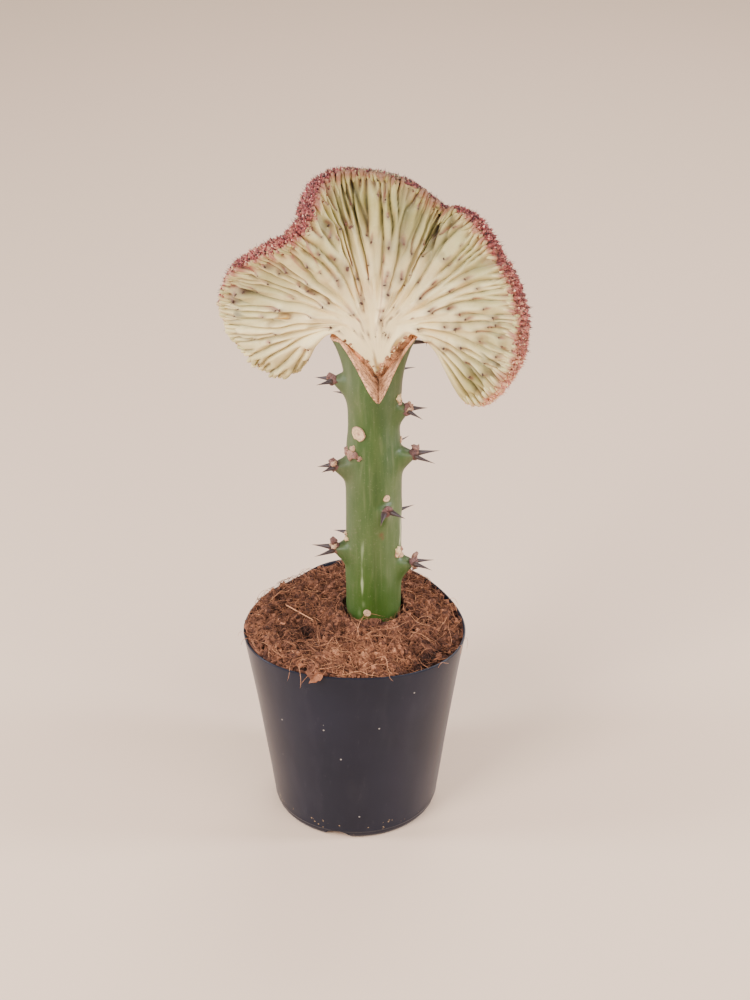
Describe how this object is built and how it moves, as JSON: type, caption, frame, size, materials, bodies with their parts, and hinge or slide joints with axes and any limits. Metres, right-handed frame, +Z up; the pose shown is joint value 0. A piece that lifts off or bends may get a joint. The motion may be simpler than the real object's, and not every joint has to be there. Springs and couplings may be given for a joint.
{
  "type": "potted coral cactus",
  "caption": "Crested fan-shaped succulent grafted in the cleft of a green spiny stock, standing in coir in a tapered black nursery pot.",
  "frame": {"origin": "centre of the pot's flat underside, on the surface that it stands on", "axes": "+Z up along the pot's axis, -Y towards the fan's front face, +X to the right as seen from the front"},
  "size_m": [0.1441, 0.1097, 0.3309],
  "materials": {
    "pot_plastic": "thin black polypropylene with a soft sheen, light scuffs and dust near the foot",
    "coir": "rough reddish-brown coconut coir with loose fibres and husk chips",
    "green_stem": "smooth waxy green skin, greyer on the ribs, corky pale scars and tan cork on the graft's cut faces",
    "cream_fan": "waxy cream to pale green ridged skin with olive grooves and brown spotted tubercles",
    "pink_edge": "rose and dusky pink growing edge, rough with tiny leaflets and bristles"
  },
  "bodies": {
    "root": {"pot": "pot_plastic", "soil": "coir", "stock": "green_stem", "crest": "cream_fan", "growing_edge": "pink_edge"}
  },
  "joints": []
}
